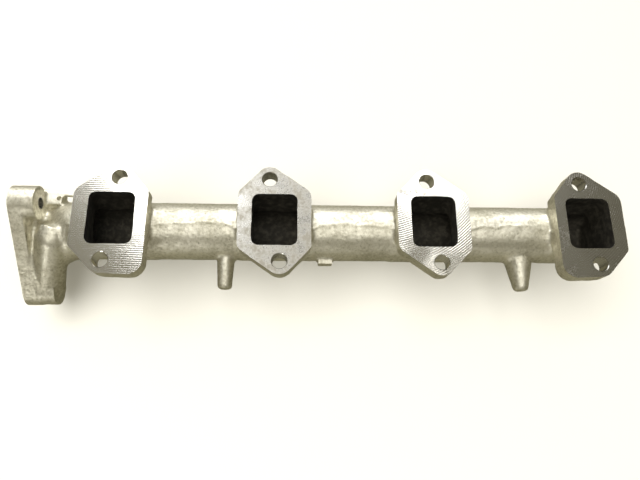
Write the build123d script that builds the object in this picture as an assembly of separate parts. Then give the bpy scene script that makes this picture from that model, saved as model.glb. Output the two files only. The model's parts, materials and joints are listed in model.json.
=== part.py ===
"""Cast iron exhaust manifold for a four-cylinder engine, as separate regions of the casting.

Four flanged ports bolt to the cylinder head. Each opens into a round log that runs along the
head, is closed behind port 4 and drops through an elbow to a three-bolt outlet flange.

Datum frame, in millimetres: X runs along the log from the outlet to the closed end, Y runs
up the head face and Z points out of it towards the head. The datum origin is on the head
face, midway between ports 2 and 3. TO_ROW moves the finished solids to the part's own
origin, the bottom centre of its box.
"""

import os
from math import cos, radians, sin

from build123d import *

# Ports
PORT_PITCH = 96.0
PORT_WIDTH = 26.8
PORT_HEIGHT = 31.5
PORT_CORNER = 4.0
PORT_X = [(index - 1.5) * PORT_PITCH for index in range(4)]

# Port flanges, each the hull of rounded corners and of two lobes around the bolt holes
FLANGE_THICK = 11.0
BOLT_X = 3.25
BOLT_Y = 25.5
BOLT_HOLE_R = 4.5
LOBE_R = 8.2
MIDDLE_CORNERS = [(15.2, 14.0, 7.0), (18.2, -15.8, 4.0), (-15.2, -14.0, 7.0), (-18.2, 15.8, 4.0)]
END_CORNERS = [(15.0, 14.0, 7.0), (18.0, -15.8, 4.0), (-11.6, -25.6, 8.8), (-16.4, 15.8, 4.0)]
INLET_END_STRETCH = 1.05

# Log
LOG_R = 18.3
LOG_Z = -27.0
WALL = 5.0
LOG_BORE_R = LOG_R - WALL
DUCT_FOOT_HEIGHT = 34.0
DUCT_BORE_FOOT_HEIGHT = 25.0
DUCT_CORNER = 8.0
CLOSED_END_THICK = 7.0
CLOSED_END_ROUND = 5.0

# Outlet flange, across the log's axis at its open end; each boss has an angle, a length and the
# depth of its tapped hole, which is blind in the lower one
OUTLET_X = -205.5
OUTLET_PLATE_THICK = 8.5
OUTLET_Z = -43.0
OUTLET_BORE_R = 18.0
OUTLET_NECK_R = 22.5
OUTLET_PCD = 67.0
OUTLET_BOSS_R = 10.6
OUTLET_TAP_R = 3.4
UPPER_BOSS_ANGLE = 68.0
OUTLET_BOSSES = {
    "outlet_boss_upper": (UPPER_BOSS_ANGLE, 15.5, 15.5),
    "outlet_boss_lower": (UPPER_BOSS_ANGLE + 120.0, 19.5, 15.5),
    "outlet_boss_rear": (UPPER_BOSS_ANGLE - 120.0, 15.5, 15.5),
}

# Column that leans from the front of the elbow down to the lower outlet boss, bent at its knee
COLUMN_R = 10.2
COLUMN_TOP = (-182.5, -1.5, -19.5)
COLUMN_KNEE = (-184.0, -8.0, -20.0)
COLUMN_FOOT = (-193.8, -33.0, -48.5)

# Rib between the upper outlet boss and duct 1: a block beside the boss, and a bar that goes on
RIB_BACK_Z = -27.0
RIB_FRONT_Z = -18.0
RIB_BAR_THICK = 3.5
RIB_BLOCK_X = -180.4
RIB_BLOCK_BOTTOM_Y = 14.0
RIB_TOP_LINE = [(-197.0, 25.0), (-190.0, 24.2), (-174.0, 21.5), (-160.0, 19.2)]
RIB_BAR_BOTTOM_LINE = [(-160.0, 16.8), (-173.0, 19.3), (-197.0, 21.5)]

# Posts and pad on the log's lower side; each post has a place along X and a root radius
POSTS = {"first_post": (-78.7, 7.2), "second_post": (107.8, 13.0)}
POST_TIP_R = 4.9
POST_TIP_Y = -37.5
POST_ROUND = 3.0
PAD_X = -16.5
PAD_WIDTH = 10.0
PAD_DEPTH = 8.0
PAD_TIP_Y = -21.6


def boss_centre(angle):
    """Give the Y and Z of an outlet bolt from its angle around the outlet bore."""
    reach = OUTLET_PCD / 2
    return reach * cos(radians(angle)), OUTLET_Z + reach * sin(radians(angle))


def bar_along_x(y, z, radius, x_start, x_end):
    """Make a round bar parallel to X."""
    plane = Plane(origin=(x_start, y, z), x_dir=(0, 1, 0), z_dir=(1, 0, 0))
    return Solid.make_cylinder(radius, x_end - x_start, plane)


def block(x_span, y_span, z_span):
    """Make a rectangular block from its low and high coordinates."""
    size = [high - low for low, high in (x_span, y_span, z_span)]
    centre = [(high + low) / 2 for low, high in (x_span, y_span, z_span)]
    return Pos(*centre) * Box(*size)


def rounded_hull(circles):
    """Make the flat outline that wraps a list of (x, y, radius) circles tightly."""
    edges = [Edge.make_circle(radius, Plane((x, y, 0))) for x, y, radius in circles]
    return make_hull(edges)


def flange_corners(index):
    """Give the corner circles of one port flange; the two end flanges mirror each other."""
    if index == 0:
        return [(-x * INLET_END_STRETCH, y, radius) for x, y, radius in END_CORNERS]
    if index == 3:
        return END_CORNERS
    return MIDDLE_CORNERS


def bolt_places(index):
    """Give the two bolt holes of one port flange, on opposite sides of its port."""
    side = 1 if index == 0 else -1
    return [(side * BOLT_X, BOLT_Y), (-side * BOLT_X, -BOLT_Y)]


def flange_side(index, side):
    """Give how far a port flange reaches from its port's centre along X, on one side."""
    return max(side * x + radius for x, _, radius in flange_corners(index))


def port_flange(index):
    """Make one port flange with its port and two bolt holes."""
    lobes = [(x, y, LOBE_R) for x, y in bolt_places(index)]
    face = rounded_hull(flange_corners(index) + lobes)
    face -= RectangleRounded(PORT_WIDTH, PORT_HEIGHT, PORT_CORNER)
    for x, y in bolt_places(index):
        face -= Pos(x, y) * Circle(BOLT_HOLE_R)
    return Pos(PORT_X[index], 0, -FLANGE_THICK) * extrude(face, FLANGE_THICK)


def duct(index, width, top_height, foot_height, corner):
    """Make the tapered block or passage that leads from a flange's back to the log's axis."""
    top = Pos(PORT_X[index], 0, -FLANGE_THICK) * RectangleRounded(width, top_height, corner)
    foot = Pos(PORT_X[index], 0, LOG_Z) * RectangleRounded(width, foot_height, corner)
    return loft([top, foot])


def duct_shell(index):
    """Make the outside of one port duct as a solid block."""
    return duct(index, PORT_WIDTH + 2 * WALL, PORT_HEIGHT + 2 * WALL, DUCT_FOOT_HEIGHT, DUCT_CORNER)


def duct_passage(index):
    """Make the gas passage of one port duct as a solid block."""
    return duct(index, PORT_WIDTH, PORT_HEIGHT, DUCT_BORE_FOOT_HEIGHT, PORT_CORNER)


def behind_flanges(x_start, x_end):
    """Make the space between the backs of the flanges and the log's far side."""
    return block((x_start, x_end), (-2 * LOG_R, 2 * LOG_R), (LOG_Z - LOG_R, -FLANGE_THICK))


def log_tube(x_start, x_end):
    """Make a plain stretch of the hollow log."""
    outside = bar_along_x(0, LOG_Z, LOG_R, x_start, x_end)
    return outside - bar_along_x(0, LOG_Z, LOG_BORE_R, x_start, x_end)


def port_chamber(index, x_start, x_end):
    """Make the stretch of log behind one port, with the duct that opens into it."""
    outside = bar_along_x(0, LOG_Z, LOG_R, x_start, x_end) + duct_shell(index)
    inside = bar_along_x(0, LOG_Z, LOG_BORE_R, x_start, x_end) + duct_passage(index)
    return (outside - inside) & behind_flanges(x_start, x_end)


def closed_end(x_start):
    """Make the wall that closes the log behind the last port, with its rounded rim."""
    x_end = x_start + CLOSED_END_THICK
    rim = bar_along_x(0, LOG_Z, LOG_R, x_start, x_end)
    rim = rim.fillet(CLOSED_END_ROUND, rim.edges().group_by(Axis.X)[-1])
    return (rim + duct_shell(3)) & behind_flanges(x_start, x_end)


def elbow_solid(log_radius, neck_radius, x_start, x_end):
    """Loft a round body from the log's end down to the outlet, easing out of both ends."""
    sections = []
    for step in (0.0, 0.25, 0.5, 0.75, 1.0):
        ease = step * step * (3 - 2 * step)
        centre = (x_end + (x_start - x_end) * step, 0, LOG_Z + (OUTLET_Z - LOG_Z) * ease)
        plane = Plane(origin=centre, x_dir=(0, 1, 0), z_dir=(1, 0, 0))
        sections.append(plane * Circle(log_radius + (neck_radius - log_radius) * ease))
    return loft(sections)


def solid_boss(name):
    """Make the outside of one round bolt boss of the outlet flange."""
    angle, length, _ = OUTLET_BOSSES[name]
    y, z = boss_centre(angle)
    return bar_along_x(y, z, OUTLET_BOSS_R, OUTLET_X, OUTLET_X + length)


def outlet_boss(name):
    """Make one round bolt boss of the outlet flange with its tapped hole."""
    angle, _, hole_depth = OUTLET_BOSSES[name]
    y, z = boss_centre(angle)
    return solid_boss(name) - bar_along_x(y, z, OUTLET_TAP_R, OUTLET_X, OUTLET_X + hole_depth)


def outlet_plate():
    """Make the triangular outlet flange between its three bosses."""
    plane = Plane(origin=(OUTLET_X, 0, 0), x_dir=(0, 1, 0), z_dir=(1, 0, 0))
    centres = [boss_centre(angle) for angle, *_ in OUTLET_BOSSES.values()]
    outline = rounded_hull([(y, z, OUTLET_BOSS_R) for y, z in centres])
    plate = extrude(plane * outline, OUTLET_PLATE_THICK)
    inner_x = OUTLET_X + OUTLET_PLATE_THICK
    for y, z in centres:
        plate -= bar_along_x(y, z, OUTLET_BOSS_R, OUTLET_X, inner_x)
    return plate - bar_along_x(0, OUTLET_Z, OUTLET_BORE_R, OUTLET_X, inner_x)


def round_bar(start, end, radius):
    """Make a round bar between the centres of its two ends."""
    run = Vector(*end) - Vector(*start)
    return Solid.make_cylinder(radius, run.length, Plane(origin=start, z_dir=run))


def post(x, root_radius):
    """Make one round post under the log, with its tip rounded over."""
    root = Plane(origin=(x, 0, LOG_Z), x_dir=(1, 0, 0), z_dir=(0, -1, 0))
    shaft = Solid.make_cone(root_radius, POST_TIP_R, -POST_TIP_Y, root)
    shaft = shaft.fillet(POST_ROUND, shaft.edges().group_by(Axis.Y)[0])
    return shaft - bar_along_x(0, LOG_Z, LOG_R, x - 2 * root_radius, x + 2 * root_radius)


def casting_pad():
    """Make the small rectangular pad under the middle of the log."""
    x_span = (PAD_X - PAD_WIDTH / 2, PAD_X + PAD_WIDTH / 2)
    z_span = (LOG_Z - PAD_DEPTH / 2, LOG_Z + PAD_DEPTH / 2)
    pad = block(x_span, (PAD_TIP_Y, 0), z_span)
    return pad - bar_along_x(0, LOG_Z, LOG_R, *x_span)


def column(x_start):
    """Make the bent column that leans from the elbow's front down to the lower outlet boss."""
    shaft = round_bar(COLUMN_TOP, COLUMN_KNEE, COLUMN_R) + round_bar(COLUMN_KNEE, COLUMN_FOOT, COLUMN_R)
    shaft += Pos(*COLUMN_KNEE) * Sphere(COLUMN_R)
    beyond_plate = block((x_start, PORT_X[0]), (COLUMN_FOOT[1] - COLUMN_R, 0), (2 * OUTLET_Z, 0))
    return (shaft & beyond_plate) - solid_boss("outlet_boss_lower")


def rib(x_start):
    """Make the rib that ties the upper outlet boss to duct 1, thinning to a bar on the way."""
    bar = Polyline(*RIB_TOP_LINE, *RIB_BAR_BOTTOM_LINE, close=True)
    made = Pos(0, 0, RIB_FRONT_Z - RIB_BAR_THICK) * extrude(make_face(bar), RIB_BAR_THICK)
    end_y = RIB_TOP_LINE[1][1]
    made += block((x_start, RIB_BLOCK_X), (RIB_BLOCK_BOTTOM_Y, end_y), (RIB_BACK_Z, RIB_FRONT_Z))
    slope = Polyline(*RIB_TOP_LINE, (RIB_TOP_LINE[-1][0], 0), (x_start, 0), close=True)
    made &= Pos(0, 0, RIB_BACK_Z) * extrude(make_face(slope), RIB_FRONT_Z - RIB_BACK_Z)
    return made - solid_boss("outlet_boss_upper") - duct_shell(0)


def log_nodes():
    """Make the four ports with their flanges and chambers, the tubes between and the end wall."""
    made = {}
    starts = [PORT_X[index] - flange_side(index, -1) for index in range(4)]
    ends = [PORT_X[index] + flange_side(index, 1) for index in range(3)]
    ends.append(PORT_X[3] + PORT_WIDTH / 2)
    for index in range(4):
        made[f"port_flange_{index + 1}"] = port_flange(index)
        made[f"port_chamber_{index + 1}"] = port_chamber(index, starts[index], ends[index])
    for index in range(3):
        made[f"log_tube_{index + 1}_to_{index + 2}"] = log_tube(ends[index], starts[index + 1])
    made["closed_end_wall"] = closed_end(ends[3])
    return made


def outlet_nodes():
    """Make the outlet flange, its bosses, and the elbow, column and rib that carry it."""
    x_start = OUTLET_X + OUTLET_PLATE_THICK
    x_end = PORT_X[0] - flange_side(0, -1)
    elbow = elbow_solid(LOG_R, OUTLET_NECK_R, x_start, x_end)
    made = {"outlet_flange": outlet_plate()}
    for name in OUTLET_BOSSES:
        made[name] = outlet_boss(name) - elbow
    made["outlet_elbow"] = elbow - elbow_solid(LOG_BORE_R, OUTLET_BORE_R, x_start, x_end)
    made["outlet_column"] = column(x_start) - elbow
    made["outlet_rib"] = rib(x_start) - elbow
    return made


def support_nodes():
    """Make the posts and the pad on the log's lower side."""
    made = {name: post(*place) for name, place in POSTS.items()}
    made["casting_pad"] = casting_pad()
    return made


nodes = {**log_nodes(), **outlet_nodes(), **support_nodes()}
nodes["outlet_rib"] -= nodes["port_chamber_1"]
box = Compound([solid for shape in nodes.values() for solid in shape.solids()]).bounding_box()
TO_ROW = Pos(-box.center().X, -box.center().Y, -box.min.Z)

os.makedirs("parts", exist_ok=True)
for name, shape in nodes.items():
    export_step(TO_ROW * shape, f"parts/{name}.step")
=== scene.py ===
import json
import logging
import math
from dataclasses import dataclass, field
from enum import Enum

import bpy
import numpy as np
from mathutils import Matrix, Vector

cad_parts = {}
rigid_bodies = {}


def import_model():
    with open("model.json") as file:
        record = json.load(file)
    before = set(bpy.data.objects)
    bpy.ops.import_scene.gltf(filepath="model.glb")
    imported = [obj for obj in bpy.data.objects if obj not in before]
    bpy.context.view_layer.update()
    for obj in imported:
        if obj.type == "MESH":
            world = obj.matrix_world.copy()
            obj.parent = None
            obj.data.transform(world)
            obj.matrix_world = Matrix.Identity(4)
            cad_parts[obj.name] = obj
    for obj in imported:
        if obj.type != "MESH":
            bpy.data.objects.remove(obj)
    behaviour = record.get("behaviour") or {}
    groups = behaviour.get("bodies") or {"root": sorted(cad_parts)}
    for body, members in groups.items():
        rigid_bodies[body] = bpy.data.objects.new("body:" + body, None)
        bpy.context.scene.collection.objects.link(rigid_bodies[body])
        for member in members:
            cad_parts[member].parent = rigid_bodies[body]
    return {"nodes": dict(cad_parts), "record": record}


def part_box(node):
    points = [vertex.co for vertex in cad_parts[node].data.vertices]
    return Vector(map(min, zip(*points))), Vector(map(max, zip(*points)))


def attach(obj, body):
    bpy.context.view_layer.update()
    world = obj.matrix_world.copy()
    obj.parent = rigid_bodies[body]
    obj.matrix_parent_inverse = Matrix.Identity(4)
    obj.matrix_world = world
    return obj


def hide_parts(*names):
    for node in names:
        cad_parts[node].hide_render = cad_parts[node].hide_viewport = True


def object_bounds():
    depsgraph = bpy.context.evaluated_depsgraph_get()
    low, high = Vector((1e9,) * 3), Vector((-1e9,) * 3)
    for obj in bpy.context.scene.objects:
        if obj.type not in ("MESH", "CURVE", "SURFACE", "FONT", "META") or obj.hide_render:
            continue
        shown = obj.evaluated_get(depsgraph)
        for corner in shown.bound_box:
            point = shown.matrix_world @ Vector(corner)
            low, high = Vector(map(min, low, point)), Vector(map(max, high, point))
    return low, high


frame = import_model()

CAD_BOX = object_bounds()
MOUNTS = {mount["name"]: mount for mount in frame["record"]["mounts"]}
MM = 0.001
BODY = "root"
PORT_COUNT = 4
# Blender's wave texture turns this many radians for each unit of its scale and of distance
WAVE_RATE = 20

logging.basicConfig(level=logging.INFO, format="%(message)s")
log = logging.getLogger("exhaust_manifold")


class Keep(Enum):
    """Which part of a casting a cutter leaves behind, in the Boolean modifier's words."""

    INSIDE = "INTERSECT"
    OUTSIDE = "DIFFERENCE"


class Slot(Enum):
    """The record's material slots."""

    SKIN = "cast_iron_skin"
    MACHINED = "machined_iron"


# ---------------------------------------------------------------- mesh helpers


def deselect_all() -> None:
    """Leave no object selected, so that an operator acts only on what is chosen next."""
    bpy.ops.object.select_all(action="DESELECT")


def activate(*objects: bpy.types.Object) -> None:
    """Select these objects alone and make the first one active.

    Args:
        objects: The objects that the next operator acts on.
    """
    deselect_all()
    for item in objects:
        item.select_set(True)
    bpy.context.view_layer.objects.active = objects[0]


def apply_modifier(piece: bpy.types.Object, kind: str, **settings: object) -> None:
    """Add a modifier, set it up and apply it.

    Args:
        piece: The mesh object to change.
        kind: The modifier's type, such as "REMESH".
        settings: The modifier's own settings.
    """
    activate(piece)
    modifier = piece.modifiers.new(kind.title(), kind)
    for key, value in settings.items():
        setattr(modifier, key, value)
    bpy.ops.object.modifier_apply(modifier=modifier.name)


def apply_place(piece: bpy.types.Object) -> None:
    """Move the object's place, turn and size into its mesh."""
    activate(piece)
    bpy.ops.object.transform_apply(location=True, rotation=True, scale=True)


def remove(piece: bpy.types.Object) -> None:
    """Delete a helper object."""
    bpy.data.objects.remove(piece, do_unlink=True)


def vertex_places(mesh: bpy.types.Mesh) -> np.ndarray:
    """Read every vertex of a mesh.

    Args:
        mesh: The mesh to read.

    Returns:
        One row of x, y and z for each vertex.
    """
    places = np.zeros(len(mesh.vertices) * 3, np.float32)
    mesh.vertices.foreach_get("co", places)
    return places.reshape(-1, 3)


def vertex_normals(mesh: bpy.types.Mesh) -> np.ndarray:
    """Read the outward direction at every vertex of a mesh.

    Args:
        mesh: The mesh to read.

    Returns:
        One unit vector for each vertex.
    """
    normals = np.zeros(len(mesh.vertices) * 3, np.float32)
    mesh.vertex_normals.foreach_get("vector", normals)
    return normals.reshape(-1, 3)


def select_vertices(piece: bpy.types.Object, chosen: np.ndarray) -> None:
    """Select vertices by a list of true and false, ready for an edit-mode operator.

    Args:
        piece: The mesh object.
        chosen: True for each vertex to select.
    """
    mesh = piece.data
    activate(piece)
    bpy.ops.object.mode_set(mode="EDIT")
    bpy.ops.mesh.select_mode(type="VERT")
    bpy.ops.mesh.select_all(action="DESELECT")
    bpy.ops.object.mode_set(mode="OBJECT")
    mesh.vertices.foreach_set("select", chosen)
    bpy.ops.object.mode_set(mode="EDIT")


def copy_of_node(name: str) -> bpy.types.Object:
    """Copy a CAD node's mesh into an object of its own, with its doubles merged.

    Args:
        name: The CAD node.

    Returns:
        The new object, which rides on nothing yet.
    """
    mesh = frame["nodes"][name].data.copy()
    mesh.materials.clear()
    copy = bpy.data.objects.new(f"raw_{name}", mesh)
    bpy.context.scene.collection.objects.link(copy)
    activate(copy)
    bpy.ops.object.mode_set(mode="EDIT")
    bpy.ops.mesh.select_all(action="SELECT")
    bpy.ops.mesh.remove_doubles(threshold=MM / 1000)
    bpy.ops.object.mode_set(mode="OBJECT")
    return copy


def box_cutter(low: Vector, high: Vector) -> bpy.types.Object:
    """Make a rectangular cutter between two corners.

    Args:
        low: The lowest corner.
        high: The highest corner.

    Returns:
        The cutter.
    """
    bpy.ops.mesh.primitive_cube_add(size=1, location=(low + high) / 2, scale=high - low)
    cutter = bpy.context.object
    apply_place(cutter)
    return cutter


def round_cutter(start: Vector, end: Vector, radius: float, sides: int = 64) -> bpy.types.Object:
    """Make a round cutter between the centres of its two ends.

    Args:
        start: The centre of one end.
        end: The centre of the other end.
        radius: The cutter's radius.
        sides: How many flats stand for the round.

    Returns:
        The cutter.
    """
    run = end - start
    turn = run.to_track_quat("Z", "Y").to_euler()
    bpy.ops.mesh.primitive_cylinder_add(
        vertices=sides, radius=radius, depth=run.length, location=(start + end) / 2, rotation=turn
    )
    cutter = bpy.context.object
    apply_place(cutter)
    return cutter


def cut(piece: bpy.types.Object, cutter: bpy.types.Object, keep: Keep) -> None:
    """Cut a closed shape with another one.

    Args:
        piece: The shape to cut.
        cutter: The shape that cuts it.
        keep: Which part stays.
    """
    apply_modifier(piece, "BOOLEAN", object=cutter, operation=keep.value, solver="MANIFOLD")


def part_off(stock: bpy.types.Object, cutter: bpy.types.Object, name: str) -> bpy.types.Object:
    """Take the part of the stock that lies inside a cutter, and leave the rest in the stock.

    Args:
        stock: The shape to divide, which loses the part.
        cutter: The closed shape around the part, deleted afterwards.
        name: The new part's name.

    Returns:
        The part.
    """
    part = bpy.data.objects.new(name, stock.data.copy())
    bpy.context.scene.collection.objects.link(part)
    cut(part, cutter, Keep.INSIDE)
    cut(stock, cutter, Keep.OUTSIDE)
    remove(cutter)
    return part


# ---------------------------------------------------------------- finishes


Colour = tuple[float, float, float]


class Shader:
    """A material's node tree, with a short call for each kind of node that the finishes use."""

    def __init__(self, name: str) -> None:
        """Start a material with one Principled shader.

        Args:
            name: The material's name.
        """
        self.material = bpy.data.materials.new(name)
        self.material.use_nodes = True
        self.tree = self.material.node_tree
        self.skin = self.tree.nodes["Principled BSDF"]
        self.place = self.tree.nodes.new("ShaderNodeTexCoord").outputs["Object"]

    def node(self, kind: str, **settings: object) -> bpy.types.Node:
        """Add a node.

        Args:
            kind: The node's type without its "ShaderNode" prefix.
            settings: The node's own settings.

        Returns:
            The node.
        """
        made = self.tree.nodes.new(f"ShaderNode{kind}")
        for key, value in settings.items():
            setattr(made, key, value)
        return made

    def link(self, output: bpy.types.NodeSocket, target: bpy.types.NodeSocket) -> None:
        """Join an output to an input."""
        self.tree.links.new(output, target)

    def moved(self, centre: Vector, stretch: Vector = Vector((1, 1, 1))) -> bpy.types.NodeSocket:
        """Give object coordinates counted from a centre and stretched.

        Args:
            centre: The pattern's centre, in the frame.
            stretch: How much finer the pattern is along each axis.

        Returns:
            The coordinates.
        """
        mapping = self.node("Mapping")
        mapping.inputs["Location"].default_value = [-c * s for c, s in zip(centre, stretch)]
        mapping.inputs["Scale"].default_value = stretch
        self.link(self.place, mapping.inputs["Vector"])
        return mapping.outputs["Vector"]

    def noise(self, grain: float, detail: float = 2.0, rough: float = 0.5,
              place: bpy.types.NodeSocket | None = None) -> bpy.types.NodeSocket:
        """Make cloudy noise.

        Args:
            grain: The size of one cloud, in metres.
            detail: How many finer layers lie on it.
            rough: How strong those layers are.
            place: The coordinates, or None for the object's own.

        Returns:
            The noise, from 0 to 1.
        """
        made = self.node("TexNoise")
        made.inputs["Scale"].default_value = 1 / grain
        made.inputs["Detail"].default_value = detail
        made.inputs["Roughness"].default_value = rough
        self.link(place or self.place, made.inputs["Vector"])
        return made.outputs["Fac"]

    def range(self, value: bpy.types.NodeSocket, start: float, end: float,
              low: float = 0.0, high: float = 1.0) -> bpy.types.NodeSocket:
        """Stretch a value from one range to another, and hold it inside.

        Args:
            value: The value.
            start: The value that becomes low.
            end: The value that becomes high.
            low: The lowest result.
            high: The highest result.

        Returns:
            The stretched value.
        """
        made = self.node("MapRange")
        for key, number in (("From Min", start), ("From Max", end), ("To Min", low), ("To Max", high)):
            made.inputs[key].default_value = number
        self.link(value, made.inputs["Value"])
        return made.outputs["Result"]

    def math(self, operation: str, first: bpy.types.NodeSocket,
             second: bpy.types.NodeSocket | float) -> bpy.types.NodeSocket:
        """Combine two values.

        Args:
            operation: The Math node's operation.
            first: The first value.
            second: The second value, a socket or a number.

        Returns:
            The result.
        """
        made = self.node("Math", operation=operation)
        self.link(first, made.inputs[0])
        if isinstance(second, bpy.types.NodeSocket):
            self.link(second, made.inputs[1])
        else:
            made.inputs[1].default_value = second
        return made.outputs["Value"]

    def mix(self, share: bpy.types.NodeSocket, first: Colour | bpy.types.NodeSocket,
            second: Colour | bpy.types.NodeSocket) -> bpy.types.NodeSocket:
        """Blend two colours.

        Args:
            share: How much of the second colour shows, from 0 to 1.
            first: The first colour.
            second: The second colour.

        Returns:
            The blend.
        """
        made = self.node("Mix", data_type="RGBA")
        self.link(share, made.inputs["Factor"])
        inputs = [item for item in made.inputs if item.type == "RGBA"]
        for socket, colour in zip(inputs, (first, second)):
            if isinstance(colour, bpy.types.NodeSocket):
                self.link(colour, socket)
            else:
                socket.default_value = (*colour, 1.0)
        return [item for item in made.outputs if item.type == "RGBA"][0]

    def bump(self, height: bpy.types.NodeSocket, depth: float, strength: float = 1.0,
             under: bpy.types.NodeSocket | None = None) -> bpy.types.NodeSocket:
        """Turn a height into a surface direction.

        Args:
            height: The height, from 0 to 1.
            depth: The relief's depth, in metres.
            strength: How much of the relief shows.
            under: The direction from a coarser relief, if any.

        Returns:
            The direction.
        """
        made = self.node("Bump")
        made.inputs["Strength"].default_value = strength
        made.inputs["Distance"].default_value = depth
        self.link(height, made.inputs["Height"])
        if under:
            self.link(under, made.inputs["Normal"])
        return made.outputs["Normal"]

    def coat(self, colour: bpy.types.NodeSocket, roughness: bpy.types.NodeSocket | float,
             metallic: float, normal: bpy.types.NodeSocket | None = None) -> bpy.types.Material:
        """Wire a finish into the Principled shader.

        Args:
            colour: The colour.
            roughness: How dull it is, a socket or a number.
            metallic: How metallic it is.
            normal: The surface direction, if there is relief.

        Returns:
            The finished material.
        """
        inputs = self.skin.inputs
        self.link(colour, inputs["Base Color"])
        if isinstance(roughness, bpy.types.NodeSocket):
            self.link(roughness, inputs["Roughness"])
        else:
            inputs["Roughness"].default_value = roughness
        inputs["Metallic"].default_value = metallic
        if normal:
            self.link(normal, inputs["Normal"])
        return self.material


@dataclass(frozen=True)
class CastIron:
    """The shot-blasted skin of the casting: bright silver grey with a sand grain."""

    name: str = "cast_iron_skin"
    bright: Colour = (0.86, 0.835, 0.73)
    dull: Colour = (0.52, 0.495, 0.39)
    hollow: Colour = (0.22, 0.20, 0.13)
    sand_grain: float = 1.7 * MM
    shot_dimple: float = 0.8 * MM
    cloud: float = 18 * MM
    wear_range: tuple[float, float] = (0.70, 1.20)
    pit_range: tuple[float, float] = (0.36, 0.24)
    pit_share: float = 0.5
    sand_relief: float = 0.30 * MM
    dimple_relief: float = 0.10 * MM
    metallic: float = 1.0
    gloss_range: tuple[float, float] = (0.40, 0.58)

    def make(self) -> bpy.types.Material:
        """Build the material.

        Returns:
            The material.
        """
        shader = Shader(self.name)
        sand = shader.noise(self.sand_grain, 3.0, 0.6)
        dimples = shader.noise(self.shot_dimple, 1.0)
        clouds = shader.noise(self.cloud, 3.0)
        wear = shader.range(shader.math("ADD", clouds, sand), *self.wear_range)
        pits = shader.math("MULTIPLY", shader.range(sand, *self.pit_range), self.pit_share)
        colour = shader.mix(pits, shader.mix(wear, self.dull, self.bright), self.hollow)
        low, high = self.gloss_range
        roughness = shader.range(wear, 0.0, 1.0, high, low)
        relief = shader.bump(dimples, self.dimple_relief, 0.5, shader.bump(sand, self.sand_relief, 0.6))
        return shader.coat(colour, roughness, self.metallic, relief)


@dataclass(frozen=True)
class MilledIron:
    """A face cut flat by a face mill: bright, with arcs from the cutter and some dull patches, its colours
    scaled darker as painted shade where the lights leave the face dim.
    """

    name: str
    cutter_centre: Vector
    # Painted shade: how far the face's colours are darkened, 1 for none.
    painted_shade_scale: float = 0.9
    patch_start: float = 0.68
    arc_strength: float = 0.3
    roughness: float = 0.24
    feed: float = 1.3 * MM
    bright: Colour = (0.90, 0.89, 0.85)
    dull: Colour = (0.52, 0.49, 0.42)
    patch: float = 10 * MM
    patch_blur: float = 0.22
    extra_roughness: float = 0.18
    speckle: float = 1.3 * MM
    groove_relief: float = 0.06 * MM
    speckle_relief: float = 0.05 * MM
    metallic: float = 1.0

    def make(self) -> bpy.types.Material:
        """Build the material.

        Returns:
            The material.
        """
        shader = Shader(self.name)
        wave = shader.node("TexWave", wave_type="RINGS", rings_direction="Z")
        wave.inputs["Scale"].default_value = math.tau / (WAVE_RATE * self.feed)
        wave.inputs["Distortion"].default_value = 0.8
        wave.inputs["Detail Scale"].default_value = 2.0
        shader.link(shader.moved(self.cutter_centre), wave.inputs["Vector"])
        fading = shader.range(shader.noise(2 * self.patch, 1.0), 0.35, 0.6)
        arcs = shader.math("MULTIPLY", wave.outputs["Fac"], fading)
        patches = shader.noise(self.patch, 4.0, 0.6)
        speckle = shader.noise(self.speckle, 2.0, 0.6)
        uneven = shader.math("ADD", patches, shader.math("MULTIPLY", speckle, 0.5))
        dullness = shader.range(uneven, self.patch_start, self.patch_start + self.patch_blur)
        # Painted shade: both colours are scaled down by a factor set for each face, to darken the faces
        # that the lights leave dim.
        bright = tuple(part * self.painted_shade_scale for part in self.bright)
        dull = tuple(part * self.painted_shade_scale for part in self.dull)
        patched = shader.mix(dullness, bright, dull)
        lined = shader.mix(shader.math("MULTIPLY", arcs, self.arc_strength), patched, dull)
        roughness = shader.range(dullness, 0.0, 1.0, self.roughness, self.roughness + self.extra_roughness)
        grooves = shader.bump(arcs, self.groove_relief, self.arc_strength)
        relief = shader.bump(speckle, self.speckle_relief, 0.25, grooves)
        return shader.coat(lined, roughness, self.metallic, relief)


@dataclass(frozen=True)
class BoreScaleAndShade:
    """The rough inside of the gas passage, dark with oxide and a little rust, and painted near black as
    painted shade of the deep passage.
    """

    name: str = "bore_scale_and_shade"
    # Painted shade: the near-black colour also stands in for the shade deep in the passage, on top of the
    # oxide.
    dark: Colour = (0.020, 0.018, 0.013)
    dusty: Colour = (0.060, 0.054, 0.041)
    grain: float = 3.6 * MM
    grain_relief: float = 0.4 * MM
    roughness: float = 0.72
    metallic: float = 0.2

    def make(self) -> bpy.types.Material:
        """Build the material.

        Returns:
            The material.
        """
        shader = Shader(self.name)
        dust = shader.noise(self.grain, 3.0, 0.65)
        colour = shader.mix(shader.range(dust, 0.45, 0.7), self.dark, self.dusty)
        return shader.coat(colour, self.roughness, self.metallic, shader.bump(dust, self.grain_relief, 0.8))


@dataclass(frozen=True)
class TableTop:
    """The plain pale table, whose colour is painted darker where the metal mirrors it, as painted shade of
    the table under the casting.
    """

    name: str = "pale_table"
    colour: Colour = (0.92, 0.91, 0.87)
    # Painted shade: the table's colour in the metal's reflections, darkened to stand for the shaded table
    # under the casting.
    shade_in_reflections: Colour = (0.21, 0.20, 0.145)
    roughness: float = 0.75
    shine: float = 0.2

    def make(self) -> bpy.types.Material:
        """Build the material.

        Returns:
            The material.
        """
        shader = Shader(self.name)
        in_metal = shader.node("LightPath").outputs["Is Glossy Ray"]
        shader.skin.inputs["Specular IOR Level"].default_value = self.shine
        return shader.coat(shader.mix(in_metal, self.colour, self.shade_in_reflections), self.roughness, 0.0)


# ---------------------------------------------------------------- the casting


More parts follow.
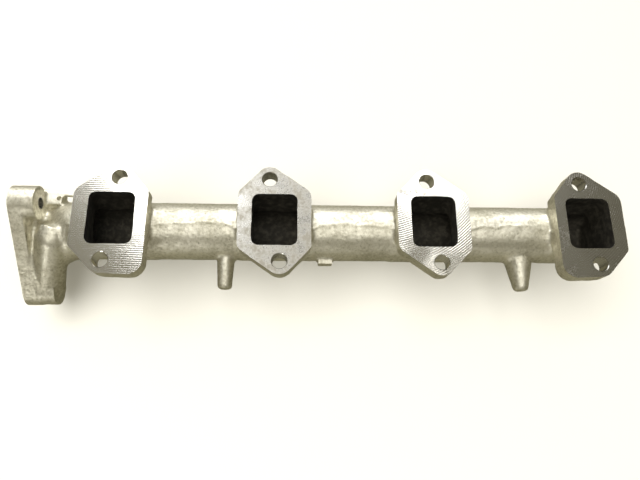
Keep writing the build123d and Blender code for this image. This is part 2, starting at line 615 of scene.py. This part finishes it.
@dataclass
class PortFlange:
    """One port flange: where its port and bolts are, and how its holes are drilled."""

    number: int
    bolt_reach: Vector = field(default_factory=lambda: Vector((3.25, 25.5, 0.0)) * MM)
    chamfer: float = 0.4 * MM
    plug_margin: float = 0.6 * MM

    def __post_init__(self) -> None:
        """Read the flange's place from the frame."""
        bolts = MOUNTS[f"port_{self.number}_bolts"]
        self.node = f"port_flange_{self.number}"
        self.centre = Vector(bolts["pos_m"])
        self.hole_radius = bolts["dims"]["hole_r_mm"] * MM
        self.low, self.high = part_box(self.node)

    def bolt_places(self) -> list[Vector]:
        """Give the centres of the two bolt holes on the milled face."""
        side = 1 if self.number == 1 else -1
        reach = Vector((side * self.bolt_reach.x, self.bolt_reach.y, 0.0))
        return [self.centre + reach, self.centre - reach]

    def plugs(self, stock: float) -> list[bpy.types.Object]:
        """Make solid plugs for the bolt holes, so that they can be drilled after casting.

        Args:
            stock: The height of the machining stock on the face.

        Returns:
            The plugs.
        """
        down, up = Vector((0, 0, self.low.z - self.high.z)), Vector((0, 0, stock))
        radius = self.hole_radius + self.plug_margin
        return [round_cutter(place + down, place + up, radius) for place in self.bolt_places()]

    def drills(self) -> list[bpy.types.Object]:
        """Make one cutter for each bolt hole, widening to a chamfer at the face.

        Returns:
            The cutters.
        """
        made = []
        for place in self.bolt_places():
            thickness = self.high.z - self.low.z
            start = place - Vector((0, 0, thickness * 2))
            drill = round_cutter(start, place - Vector((0, 0, self.chamfer)), self.hole_radius)
            flare_top(drill, Vector((0, 0, 1)), 2 * self.chamfer, 1 + 2 * self.chamfer / self.hole_radius)
            made.append(drill)
        return made


def flare_top(cutter: bpy.types.Object, direction: Vector, height: float, growth: float) -> None:
    """Extrude the end of a round cutter and widen it.

    Args:
        cutter: The cutter.
        direction: The way that the end faces.
        height: How far the new end stands off.
        growth: How much wider the new end is.
    """
    mesh = cutter.data
    chosen = [polygon.normal.dot(direction) > 0.99 for polygon in mesh.polygons]
    activate(cutter)
    bpy.ops.object.mode_set(mode="EDIT")
    bpy.ops.mesh.select_mode(type="FACE")
    bpy.ops.mesh.select_all(action="DESELECT")
    bpy.ops.object.mode_set(mode="OBJECT")
    mesh.polygons.foreach_set("select", chosen)
    bpy.ops.object.mode_set(mode="EDIT")
    bpy.ops.mesh.extrude_region_move(TRANSFORM_OT_translate={"value": direction * height})
    bpy.ops.transform.resize(value=(growth, growth, growth), center_override=end_centre(cutter, direction))
    bpy.ops.object.mode_set(mode="OBJECT")


def end_centre(cutter: bpy.types.Object, direction: Vector) -> Vector:
    """Give the centre of a cutter's end.

    Args:
        cutter: The cutter, in edit mode or not.
        direction: The way that the end faces.

    Returns:
        The centre, in the frame.
    """
    cutter.update_from_editmode()
    places = vertex_places(cutter.data)
    reach = places @ np.array(direction, np.float32)
    return Vector(places[reach > reach.max() - MM / 100].mean(axis=0).tolist())


@dataclass
class OutletEnd:
    """The outlet flange with its three tapped bosses, and the column and rib beside it."""

    boss_radius: float = 10.6 * MM
    tap_depth: float = 15.5 * MM
    chamfer: float = 0.5 * MM
    drop: float = 16.0 * MM
    swell: float = 4.7 * MM
    bosses: tuple[str, ...] = ("outlet_boss_upper", "outlet_boss_lower", "outlet_boss_rear")

    def __post_init__(self) -> None:
        """Read the outlet's place from the frame."""
        self.tap_radius = MOUNTS["outlet_bolts"]["dims"]["hole_r_mm"] * MM
        self.face_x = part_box("outlet_flange")[0].x
        self.plate_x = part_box("outlet_flange")[1].x

    def boss_axis(self, name: str) -> tuple[Vector, Vector]:
        """Give the two ends of a boss's axis.

        Args:
            name: The boss's node.

        Returns:
            The end on the outlet face, and the inner end.
        """
        low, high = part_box(name)
        middle = (low + high) / 2
        return Vector((low.x, middle.y, middle.z)), Vector((high.x, middle.y, middle.z))

    def plugs(self, stock: float) -> list[bpy.types.Object]:
        """Make solid plugs for the tapped holes.

        Args:
            stock: The depth of the machining stock on the outlet face.

        Returns:
            The plugs.
        """
        made = []
        for name in self.bosses:
            start, end = self.boss_axis(name)
            made.append(round_cutter(start - Vector((stock, 0, 0)), end, self.tap_radius + 0.6 * MM))
        return made

    def drills(self) -> list[bpy.types.Object]:
        """Make one cutter for each tapped hole, widening at the outlet face.

        Returns:
            The cutters.
        """
        made = []
        for name in self.bosses:
            start, end = self.boss_axis(name)
            runs_through = end.x - start.x < self.tap_depth + MM
            beyond = start + Vector((self.tap_depth + (2 * MM if runs_through else 0), 0, 0))
            drill = round_cutter(beyond, start + Vector((self.chamfer, 0, 0)), self.tap_radius, 48)
            flare_top(drill, Vector((-1, 0, 0)), 2 * self.chamfer, 1 + 2 * self.chamfer / self.tap_radius)
            made.append(drill)
        return made


@dataclass
class RawCasting:
    """The whole casting in one piece, as it leaves the sand mould and the shot blast."""

    flanges: list[PortFlange]
    outlet: OutletEnd
    grid: float = 0.7 * MM
    stock: float = 1.6 * MM
    crease: float = 0.12
    fillet_rings: int = 3
    fillet_passes: int = 20
    edge_passes: int = 2
    bar_margin: float = 1.5 * MM

    def pour(self) -> bpy.types.Object:
        """Join the frame's nodes into one closed shape, with stock on the faces to be machined.

        Returns:
            The shape.
        """
        parts = [copy_of_node(name) for name in sorted(frame["nodes"])]
        for part in parts:
            self.add_stock(part)
        for flange in self.flanges:
            parts += flange.plugs(self.stock)
        parts += self.outlet.plugs(self.stock)
        activate(*parts)
        bpy.ops.object.join()
        casting = bpy.context.object
        casting.name = "raw_casting"
        grid = self.grid * 1.0
        apply_modifier(casting, "REMESH", mode="VOXEL", voxel_size=grid, adaptivity=0.0)
        log.info("raw casting: %d faces", len(casting.data.polygons))
        return casting

    def add_stock(self, part: bpy.types.Object) -> None:
        """Raise the faces that will be machined.

        Args:
            part: A copy of one node.
        """
        places = vertex_places(part.data)
        tolerance = MM / 100
        if part.name.startswith("raw_port_flange"):
            chosen, move = places[:, 2] > self.flanges[0].high.z - tolerance, (0, 0, self.stock)
        elif part.name.startswith(("raw_outlet_flange", "raw_outlet_boss")):
            chosen, move = places[:, 0] < self.outlet.face_x + tolerance, (-self.stock, 0, 0)
        else:
            return
        select_vertices(part, chosen)
        bpy.ops.transform.translate(value=move)
        bpy.ops.object.mode_set(mode="OBJECT")

    def creases(self, casting: bpy.types.Object) -> np.ndarray:
        """Find the inner corners between the casting's bodies.

        Args:
            casting: The casting.

        Returns:
            True for each vertex that lies in an inner corner.
        """
        mesh = casting.data
        places, normals = vertex_places(mesh), vertex_normals(mesh)
        ends = np.zeros(len(mesh.edges) * 2, np.int32)
        mesh.edges.foreach_get("vertices", ends)
        first, second = ends.reshape(-1, 2).T
        count = np.bincount(ends, minlength=len(places))
        around = np.stack([
            np.bincount(first, places[second, axis], len(places))
            + np.bincount(second, places[first, axis], len(places))
            for axis in range(3)
        ], axis=1)
        hollow = ((around / count[:, None] - places) * normals).sum(axis=1)
        return hollow > self.crease * self.grid

    def round_corners(self, casting: bpy.types.Object) -> None:
        """Blend the inner corners into fillets, then take the edge off the outer ones.

        Args:
            casting: The casting.
        """
        chosen = self.creases(casting)
        select_vertices(casting, chosen)
        for _ in range(self.fillet_rings):
            bpy.ops.mesh.select_more()
        self.leave_bar(casting)
        bpy.ops.mesh.vertices_smooth(factor=0.5, repeat=self.fillet_passes)
        bpy.ops.mesh.select_all(action="SELECT")
        bpy.ops.mesh.vertices_smooth(factor=0.5, repeat=self.edge_passes)
        bpy.ops.object.mode_set(mode="OBJECT")

    def leave_bar(self, casting: bpy.types.Object) -> None:
        """Leave the rib's thin bar out of the selection, because smoothing would eat it.

        Args:
            casting: The casting, in edit mode.
        """
        bpy.ops.object.mode_set(mode="OBJECT")
        low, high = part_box("outlet_rib")
        places = vertex_places(casting.data)
        margin = self.bar_margin
        above_low = np.all(places > np.array(low) - margin, axis=1)
        inside = above_low & np.all(places < np.array(high) + margin, axis=1)
        chosen = np.zeros(len(places), bool)
        casting.data.vertices.foreach_get("select", chosen)
        select_vertices(casting, chosen & ~inside)


@dataclass
class CastSurface:
    """What the sand mould and the shot blast leave on the casting: a parting line and a grain."""

    line_height: float = 0.32 * MM
    line_width: float = 0.9 * MM
    line_wander: float = 0.5 * MM
    line_dip: float = 4.0 * MM
    dip_length: float = 4.5 * MM
    mismatch: float = 0.30 * MM
    lump_size: float = 7.0 * MM
    lump_depth: float = 0.40 * MM
    grain_size: float = 2.2 * MM
    grain_depth: float = 0.16 * MM

    def mark_parting(self, casting: bpy.types.Object) -> None:
        """Raise the parting line along the log and set its lower half in by the mould's mismatch.

        Args:
            casting: The casting.
        """
        places, normals = vertex_places(casting.data), vertex_normals(casting.data)
        tube_low, tube_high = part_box("log_tube_1_to_2")
        radius = (tube_high.z - tube_low.z) / 2
        axis_y, axis_z = (tube_high.y + tube_low.y) / 2, (tube_high.z + tube_low.z) / 2
        along, across, depth = places.T
        reach = np.hypot(across - axis_y, depth - axis_z)
        outside = (reach > radius - 1.5 * MM) & (depth < tube_high.z + MM)
        line = np.full(len(along), axis_y, np.float32)
        inside = np.zeros(len(along), np.float32)
        for name in ("log_tube_1_to_2", "log_tube_2_to_3", "log_tube_3_to_4", "outlet_elbow"):
            low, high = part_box(name)
            depth_in = np.minimum(along - low.x, high.x - along)
            here = depth_in > 0
            inside[here] = np.clip(depth_in[here] / (3 * MM), 0, 1)
            line[here] -= self.line_dip * np.exp(-depth_in[here] / self.dip_length)
        line += self.line_wander * (np.sin(along / (6.1 * MM)) + 0.6 * np.sin(along / (2.3 * MM) + 1.7))
        front = np.clip(np.abs(normals[:, 2]) * 1.5, 0, 1)
        ridge = np.exp(-(((across - line) / self.line_width) ** 2)) * inside * outside * front
        below = np.clip((line - across) / (1.5 * MM) + 0.5, 0, 1) * inside * outside
        self.push(casting, "parting_ridge", ridge, self.line_height)
        self.push(casting, "mould_mismatch", below, -self.mismatch)

    def push(self, casting: bpy.types.Object, name: str, weights: np.ndarray, height: float) -> None:
        """Move part of the surface in or out.

        Args:
            casting: The casting.
            name: The name of the vertex group that says where.
            weights: How far each vertex follows, from 0 to 1.
            height: The full move, outwards where positive.
        """
        group = casting.vertex_groups.new(name=name)
        levels = np.round(weights * 20).astype(int)
        for level in range(1, 21):
            chosen = np.flatnonzero(levels == level)
            if len(chosen):
                group.add(chosen.tolist(), level / 20, "REPLACE")
        apply_modifier(casting, "DISPLACE", strength=height, mid_level=0.0, vertex_group=name)

    def roughen(self, casting: bpy.types.Object) -> None:
        """Sink the surface by two sizes of cloud, never raising it above its place.

        Args:
            casting: The casting.
        """
        for name, size, depth in (("lumps", self.lump_size, self.lump_depth),
                                  ("sand_grain", self.grain_size, self.grain_depth)):
            texture = bpy.data.textures.new(name, "CLOUDS")
            texture.noise_scale = size
            texture.noise_depth = 2
            apply_modifier(casting, "DISPLACE", texture=texture, texture_coords="LOCAL",
                           strength=depth, mid_level=1.0)


@dataclass
class Machining:
    """The cuts that the machine shop makes in the casting."""

    flanges: list[PortFlange]
    outlet: OutletEnd
    margin: float = 20 * MM
    dimple_radius: float = 1.5 * MM
    dimple_depth: float = 5 * MM

    def __post_init__(self) -> None:
        """Place the rib's blind hole beside the slit, from the first port."""
        self.dimple_place = self.flanges[0].centre + Vector((-38.5, 18.2, 0.0)) * MM

    def machine(self, casting: bpy.types.Object) -> None:
        """Mill the port faces and the outlet face flat, and drill every hole.

        Args:
            casting: The casting.
        """
        cutter = self.face_cutter()
        cut(casting, cutter, Keep.OUTSIDE)
        remove(cutter)
        drills = [drill for flange in self.flanges for drill in flange.drills()] + self.outlet.drills()
        drills.append(self.dimple())
        activate(*drills)
        bpy.ops.object.join()
        cut(casting, drills[0], Keep.OUTSIDE)
        remove(drills[0])

    def face_cutter(self) -> bpy.types.Object:
        """Make the cutter for both faces, an L of the space over the ports and beyond the outlet.

        Returns:
            The cutter.
        """
        low, high = CAD_BOX
        room = Vector((1, 1, 1)) * self.margin
        over = box_cutter(Vector((low.x - room.x, low.y - room.y, high.z)), high + room)
        beyond = box_cutter(low - room, Vector((self.outlet.face_x, high.y + room.y, high.z + room.z)))
        apply_modifier(over, "BOOLEAN", object=beyond, operation="UNION", solver="MANIFOLD")
        remove(beyond)
        return over

    def dimple(self) -> bpy.types.Object:
        """Make the cutter for the small blind hole in the rib, beside its slit.

        Returns:
            The cutter.
        """
        top = Vector((self.dimple_place.x, self.dimple_place.y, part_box("outlet_rib")[1].z + MM))
        return round_cutter(top - Vector((0, 0, self.dimple_depth)), top, self.dimple_radius, 24)


@dataclass
class Supports:
    """The two posts and the pad on the log's lower side."""

    hosts: dict[str, str] = field(default_factory=lambda: {
        "first_post": "log_tube_1_to_2",
        "second_post": "log_tube_3_to_4",
        "casting_pad": "log_tube_2_to_3",
    })
    root_flare: float = 6 * MM
    root_depth: float = 0.9 * MM

    def part_off(self, tube: bpy.types.Object, name: str, host: str) -> bpy.types.Object:
        """Take one support off its tube, just under the log.

        Args:
            tube: The tube's piece, which loses the support.
            name: The support's node.
            host: The tube's node.

        Returns:
            The support's piece.
        """
        low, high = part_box(name)
        host_low, host_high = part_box(host)
        bottom = Vector((low.x - self.root_flare, low.y - MM, host_low.z - MM))
        top = Vector((high.x + self.root_flare, host_low.y - self.root_depth, host_high.z - 2 * MM))
        return part_off(tube, box_cutter(bottom, top), name)


@dataclass
class Breakdown:
    """The division of the finished casting into its named pieces, along the frame's own seams."""

    flanges: list[PortFlange]
    outlet: OutletEnd
    supports: Supports
    reach: float = 5 * MM
    cutter_grid: float = 1.0 * MM
    growth: float = 0.9 * MM

    def slab(self, casting: bpy.types.Object, node: str, low_x: float, high_x: float,
             low_z: float) -> bpy.types.Object:
        """Take off everything between two planes across the log, above a height.

        Args:
            casting: The casting, which loses it.
            node: The node that the slab stands for.
            low_x: The first plane.
            high_x: The second plane.
            low_z: The height.

        Returns:
            The part.
        """
        low, high = CAD_BOX
        start = Vector((low_x, low.y - self.reach, low_z))
        end = Vector((high_x, high.y + self.reach, high.z + self.reach))
        return part_off(casting, box_cutter(start, end), node)

    def divide(self, casting: bpy.types.Object) -> dict[str, bpy.types.Object]:
        """Divide the casting.

        Args:
            casting: The finished casting, whose last remainder becomes the elbow.

        Returns:
            Each piece by the node that it stands for.
        """
        bottom = CAD_BOX[0].z - self.reach
        pieces = {}
        log_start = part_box("port_chamber_1")[0].x
        run = self.slab(casting, "log_run", log_start, CAD_BOX[1].x + self.reach, bottom)
        for flange in self.flanges[:-1]:
            number = flange.number
            chamber, tube = f"port_chamber_{number}", f"log_tube_{number}_to_{number + 1}"
            pieces[chamber] = self.slab(run, chamber, flange.low.x - MM, flange.high.x, bottom)
            pieces[flange.node] = self.take_flange(pieces[chamber], flange)
            tube_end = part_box(tube)[1].x
            pieces[tube] = self.slab(run, tube, flange.high.x - MM, tube_end, bottom)
        last = self.flanges[-1]
        pieces[last.node] = self.take_flange(run, last)
        chamber = f"port_chamber_{last.number}"
        pieces[chamber] = self.slab(run, chamber, last.low.x - MM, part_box(chamber)[1].x, bottom)
        pieces["closed_end_wall"] = run
        for name, host in self.supports.hosts.items():
            pieces[name] = self.supports.part_off(pieces[host], name, host)
        return pieces | self.divide_outlet(casting)

    def take_flange(self, stock: bpy.types.Object, flange: PortFlange) -> bpy.types.Object:
        """Take a port flange off the chamber behind it.

        Args:
            stock: The chamber, which loses its flange.
            flange: The flange.

        Returns:
            The flange's piece.
        """
        return self.slab(stock, flange.node, flange.low.x - 2 * MM, flange.high.x + 2 * MM, flange.low.z)

    def grown_copy(self, name: str) -> bpy.types.Object:
        """Copy a CAD node and grow it a little, so that it cuts its own region out of the casting.

        Args:
            name: The CAD node.

        Returns:
            The cutter.
        """
        cutter = copy_of_node(name)
        apply_modifier(cutter, "REMESH", mode="VOXEL", voxel_size=self.cutter_grid, adaptivity=0.0)
        apply_modifier(cutter, "DISPLACE", strength=self.growth, mid_level=0.0)
        return cutter

    def divide_outlet(self, casting: bpy.types.Object) -> dict[str, bpy.types.Object]:
        """Divide the outlet end.

        Args:
            casting: The outlet end of the casting.

        Returns:
            Each piece by the node that it stands for.
        """
        pieces = {}
        for name in self.outlet.bosses:
            start, end = self.outlet.boss_axis(name)
            margin = Vector((MM, 0, 0))
            cutter = round_cutter(start - margin, end + margin, self.outlet.boss_radius, 96)
            pieces[name] = part_off(casting, cutter, name)
        low = CAD_BOX[0]
        plate_x = self.outlet.plate_x
        pieces["outlet_flange"] = self.slab(casting, "outlet_flange", low.x - MM, plate_x, low.z - MM)
        for name in ("outlet_column", "outlet_rib"):
            pieces[name] = part_off(casting, self.grown_copy(name), name)
        casting.name = "outlet_elbow"
        pieces["outlet_elbow"] = casting
        return pieces


# Where the face mill's centre ran over each port face, in millimetres, and how the face came out; each
# entry's colour scale is painted shade, lower on the faces shown darker by the light.
FACE_PASSES = (
    (-124, -500, {"painted_shade_scale": 1.00, "patch_start": 0.86, "arc_strength": 0.25, "roughness": 0.16}),
    (-60, 95, {"painted_shade_scale": 0.70, "patch_start": 0.66, "arc_strength": 0.05, "roughness": 0.26}),
    (30, 60, {"painted_shade_scale": 0.95, "patch_start": 0.78, "arc_strength": 0.45, "roughness": 0.15}),
    (120, 45, {"painted_shade_scale": 0.64, "patch_start": 0.82, "arc_strength": 0.50, "roughness": 0.22}),
)


@dataclass
class Dressing:
    """The finishes on each piece: cast skin, bright iron where it was machined, its colour darkened on some
    faces as painted shade, and bores dark with oxide and painted shade.
    """

    flanges: list[PortFlange]
    outlet: OutletEnd
    smooth_angle: float = math.radians(38)
    wall_middle: float = 15.8 * MM
    port_half: Vector = field(default_factory=lambda: Vector((14.6, 17.0, 0.0)) * MM)
    turned_in: float = 0.4

    def __post_init__(self) -> None:
        """Make the finishes."""
        self.skin = CastIron().make()
        # The bores' finish: oxide, painted near black as painted shade of the deep passage.
        self.scale = BoreScaleAndShade().make()
        self.milled_shaded = {}
        # Each port face gets its own copy of the milled finish, darkened by its own amount as painted
        # shade.
        for flange, (cutter_x, cutter_y, look) in zip(self.flanges, FACE_PASSES):
            centre = Vector((cutter_x * MM, cutter_y * MM, CAD_BOX[1].z))
            self.milled_shaded[flange.node] = MilledIron(f"milled_shaded_face_{flange.number}", centre, **look).make()
        outlet_centre = Vector((self.outlet.face_x, 0.005, 0.036))
        self.faced = MilledIron("milled_outlet_face", outlet_centre).make()

    def machined(self, node: str, centres: np.ndarray, normals: np.ndarray) -> np.ndarray:
        """Find the machined faces of a piece.

        Args:
            node: The piece's node.
            centres: The centre of each face.
            normals: The outward direction of each face.

        Returns:
            True for each machined face.
        """
        tolerance = MM / 50
        if node.startswith("port_flange"):
            flange = self.flanges[int(node[-1]) - 1]
            chosen = (centres[:, 2] > flange.high.z - tolerance) & (normals[:, 2] > 0.99)
            for place in flange.bolt_places():
                gap = np.hypot(centres[:, 0] - place.x, centres[:, 1] - place.y)
                chosen |= gap < flange.hole_radius + flange.chamfer
            return chosen
        chosen = (centres[:, 0] < self.outlet.face_x + tolerance) & (normals[:, 0] < -0.99)
        if node in self.outlet.bosses:
            start, _ = self.outlet.boss_axis(node)
            gap = np.hypot(centres[:, 1] - start.y, centres[:, 2] - start.z)
            chosen |= gap < self.outlet.tap_radius + self.outlet.chamfer
        return chosen

    def inside(self, node: str, centres: np.ndarray, normals: np.ndarray) -> np.ndarray:
        """Find the faces of a piece that line the gas passage.

        Args:
            node: The piece's node.
            centres: The centre of each face.
            normals: The outward direction of each face.

        Returns:
            True for each face inside the passage.
        """
        tube_low, tube_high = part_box("log_tube_1_to_2")
        axis_y, axis_z = (tube_high.y + tube_low.y) / 2, (tube_high.z + tube_low.z) / 2
        across, depth = centres[:, 1] - axis_y, centres[:, 2] - axis_z
        if node in ("outlet_elbow", "outlet_flange"):
            start, end = self.outlet.plate_x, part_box("port_chamber_1")[0].x
            step = np.clip((end - centres[:, 0]) / (end - start), 0, 1)
            ease = step * step * (3 - 2 * step)
            depth = depth + ease * self.outlet.drop
            reach = np.hypot(across, depth)
            facing = (across * normals[:, 1] + depth * normals[:, 2]) / reach
            return (facing < -self.turned_in) & (reach < self.wall_middle + ease * self.outlet.swell)
        if node.startswith("outlet"):
            return np.zeros(len(centres), bool)
        chosen = np.hypot(across, depth) < self.wall_middle
        for flange in self.flanges:
            gap_x = np.abs(centres[:, 0] - flange.centre.x)
            gap_y = np.abs(centres[:, 1] - flange.centre.y)
            chosen |= (gap_x < self.port_half.x) & (gap_y < self.port_half.y) & (centres[:, 2] > axis_z)
        if node == "closed_end_wall":
            chosen &= normals[:, 0] < -self.turned_in
        return chosen & (centres[:, 2] < self.flanges[0].high.z - MM / 20)

    def dress(self, node: str, piece: bpy.types.Object) -> None:
        """Give a piece its finishes and its place in the frame.

        Args:
            node: The node that the piece stands for.
            piece: The piece.
        """
        mesh = piece.data
        mesh.materials.clear()
        mesh.materials.append(self.skin)
        mesh.materials.append(self.milled_shaded.get(node, self.faced))
        mesh.materials.append(self.scale)
        count = len(mesh.polygons)
        centres, normals = np.zeros(count * 3, np.float32), np.zeros(count * 3, np.float32)
        mesh.polygons.foreach_get("center", centres)
        mesh.polygons.foreach_get("normal", normals)
        centres, normals = centres.reshape(-1, 3), normals.reshape(-1, 3)
        finish = np.where(self.inside(node, centres, normals), 2, 0)
        finish[self.machined(node, centres, normals)] = 1
        mesh.polygons.foreach_set("material_index", finish.astype(np.int32))
        activate(piece)
        bpy.ops.object.shade_smooth_by_angle(angle=self.smooth_angle)
        piece.name = f"{node}_iron"
        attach(piece, BODY)
        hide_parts(node)
        log.info("%s: %d faces", piece.name, count)


# ---------------------------------------------------------------- the studio


@dataclass(frozen=True)
class SoftBox:
    """One rectangular studio light."""

    name: str
    place: Vector
    aim: Vector
    width: float
    depth: float
    radiance: float
    colour: Colour = (1.0, 1.0, 1.0)
    mirror_only: bool = True

    def hang(self) -> None:
        """Put the light in the scene."""
        data = bpy.data.lights.new(self.name, "AREA")
        data.shape = "RECTANGLE"
        data.size, data.size_y = self.width, self.depth
        data.energy = self.radiance * math.pi * self.width * self.depth
        data.color = self.colour
        lamp = bpy.data.objects.new(self.name, data)
        bpy.context.scene.collection.objects.link(lamp)
        lamp.visible_glossy = self.mirror_only
        lamp.visible_diffuse = not self.mirror_only
        lamp.location = self.place
        lamp.rotation_euler = (self.aim - self.place).to_track_quat("-Z", "Y").to_euler()


@dataclass(frozen=True)
class Studio:
    """The pale table, the soft lights and the camera above the port faces."""

    table_size: float = 9.0
    table_gap: float = 0.2 * MM
    camera_reach: Vector = Vector((-37.2, -107.8, 315.6)) * MM
    camera_turn: tuple[float, float, float] = (16.78, -2.82, 0.61)
    lens: float = 31.5
    sensor: float = 36.0
    room_air: Colour = (0.52, 0.50, 0.43)
    mirrored_air: Colour = (0.17, 0.155, 0.105)
    backdrop: Colour = (0.93, 0.92, 0.89)

    def lights(self) -> list[SoftBox]:
        """Give the studio's lights."""
        middle = Vector((0.0, 0.0, 0.04))
        warm = (1.0, 0.98, 0.92)
        return [
            SoftBox("daylight", Vector((-0.55, -0.12, 2.2)), middle, 2.0, 1.7, 4.7, warm, False),
            SoftBox("window", Vector((-0.2, 1.35, 1.0)), middle, 2.6, 1.3, 2.8),
            SoftBox("sky", Vector((0.05, -0.30, 1.6)), middle, 1.4, 1.0, 1.8, warm),
            SoftBox("horizon", Vector((-0.1, -1.6, 0.28)), middle, 2.4, 0.34, 0.8, warm),
            SoftBox("front_left", Vector((-0.80, -1.35, 0.50)), middle, 0.45, 0.40, 3.5, warm),
            SoftBox("panel_left", Vector((-0.42, 0.66, 1.5)), middle, 0.34, 0.46, 5.0),
            SoftBox("panel_right", Vector((0.44, 0.74, 1.5)), middle, 0.34, 0.40, 3.6),
        ]

    def build(self) -> None:
        """Set up the table, the lights, the ambient light and the camera."""
        bpy.ops.mesh.primitive_grid_add(x_subdivisions=8, y_subdivisions=8, size=self.table_size,
                                        location=(0, 0, CAD_BOX[0].z - self.table_gap))
        table = bpy.context.object
        table.name = "pale_table"
        table.data.materials.append(TableTop().make())
        for light in self.lights():
            light.hang()
        self.fill_air()
        self.place_camera()

    def fill_air(self) -> None:
        """Give the room its own light: soft on the table, dim in the metal, pale beyond the table."""
        world = bpy.data.worlds.new("studio_air")
        world.use_nodes = True
        tree = world.node_tree
        tree.nodes.remove(tree.nodes["Background"])
        rays = tree.nodes.new("ShaderNodeLightPath")
        air = self.shade(tree, self.room_air)
        for ray, colour in (("Is Glossy Ray", self.mirrored_air), ("Is Camera Ray", self.backdrop)):
            mixed = tree.nodes.new("ShaderNodeMixShader")
            tree.links.new(rays.outputs[ray], mixed.inputs[0])
            tree.links.new(air, mixed.inputs[1])
            tree.links.new(self.shade(tree, colour), mixed.inputs[2])
            air = mixed.outputs[0]
        tree.links.new(air, tree.nodes["World Output"].inputs["Surface"])
        bpy.context.scene.world = world

    def shade(self, tree: bpy.types.NodeTree, colour: Colour) -> bpy.types.NodeSocket:
        """Add an evenly lit background to the world's nodes.

        Args:
            tree: The world's node tree.
            colour: The background's colour.

        Returns:
            The background.
        """
        background = tree.nodes.new("ShaderNodeBackground")
        background.inputs["Color"].default_value = (*colour, 1.0)
        return background.outputs["Background"]

    def place_camera(self) -> None:
        """Put the camera above the ports, looking a little uphill along the faces."""
        data = bpy.data.cameras.new("camera")
        data.lens, data.sensor_width = self.lens, self.sensor
        data.clip_start, data.clip_end = 0.01, 50.0
        camera = bpy.data.objects.new("camera", data)
        bpy.context.scene.collection.objects.link(camera)
        middle = sum((Vector(MOUNTS[f"port_{number}_bolts"]["pos_m"]) for number in (2, 3)), Vector()) / 2
        camera.location = middle + self.camera_reach
        camera.rotation_mode = "ZYX"
        camera.rotation_euler = [math.radians(turn) for turn in self.camera_turn]
        bpy.context.scene.camera = camera


def main() -> None:
    """Build the manifold and its studio, and report each piece."""
    Studio().build()
    flanges = [PortFlange(number) for number in range(1, PORT_COUNT + 1)]
    outlet = OutletEnd()
    raw = RawCasting(flanges, outlet)
    casting = raw.pour()
    raw.round_corners(casting)
    surface = CastSurface()
    surface.mark_parting(casting)
    surface.roughen(casting)
    Machining(flanges, outlet).machine(casting)
    pieces = Breakdown(flanges, outlet, Supports()).divide(casting)
    dressing = Dressing(flanges, outlet)
    for node in sorted(pieces):
        dressing.dress(node, pieces[node])
    bpy.context.scene.view_settings.view_transform = "Standard"


if __name__ == "__main__":
    main()
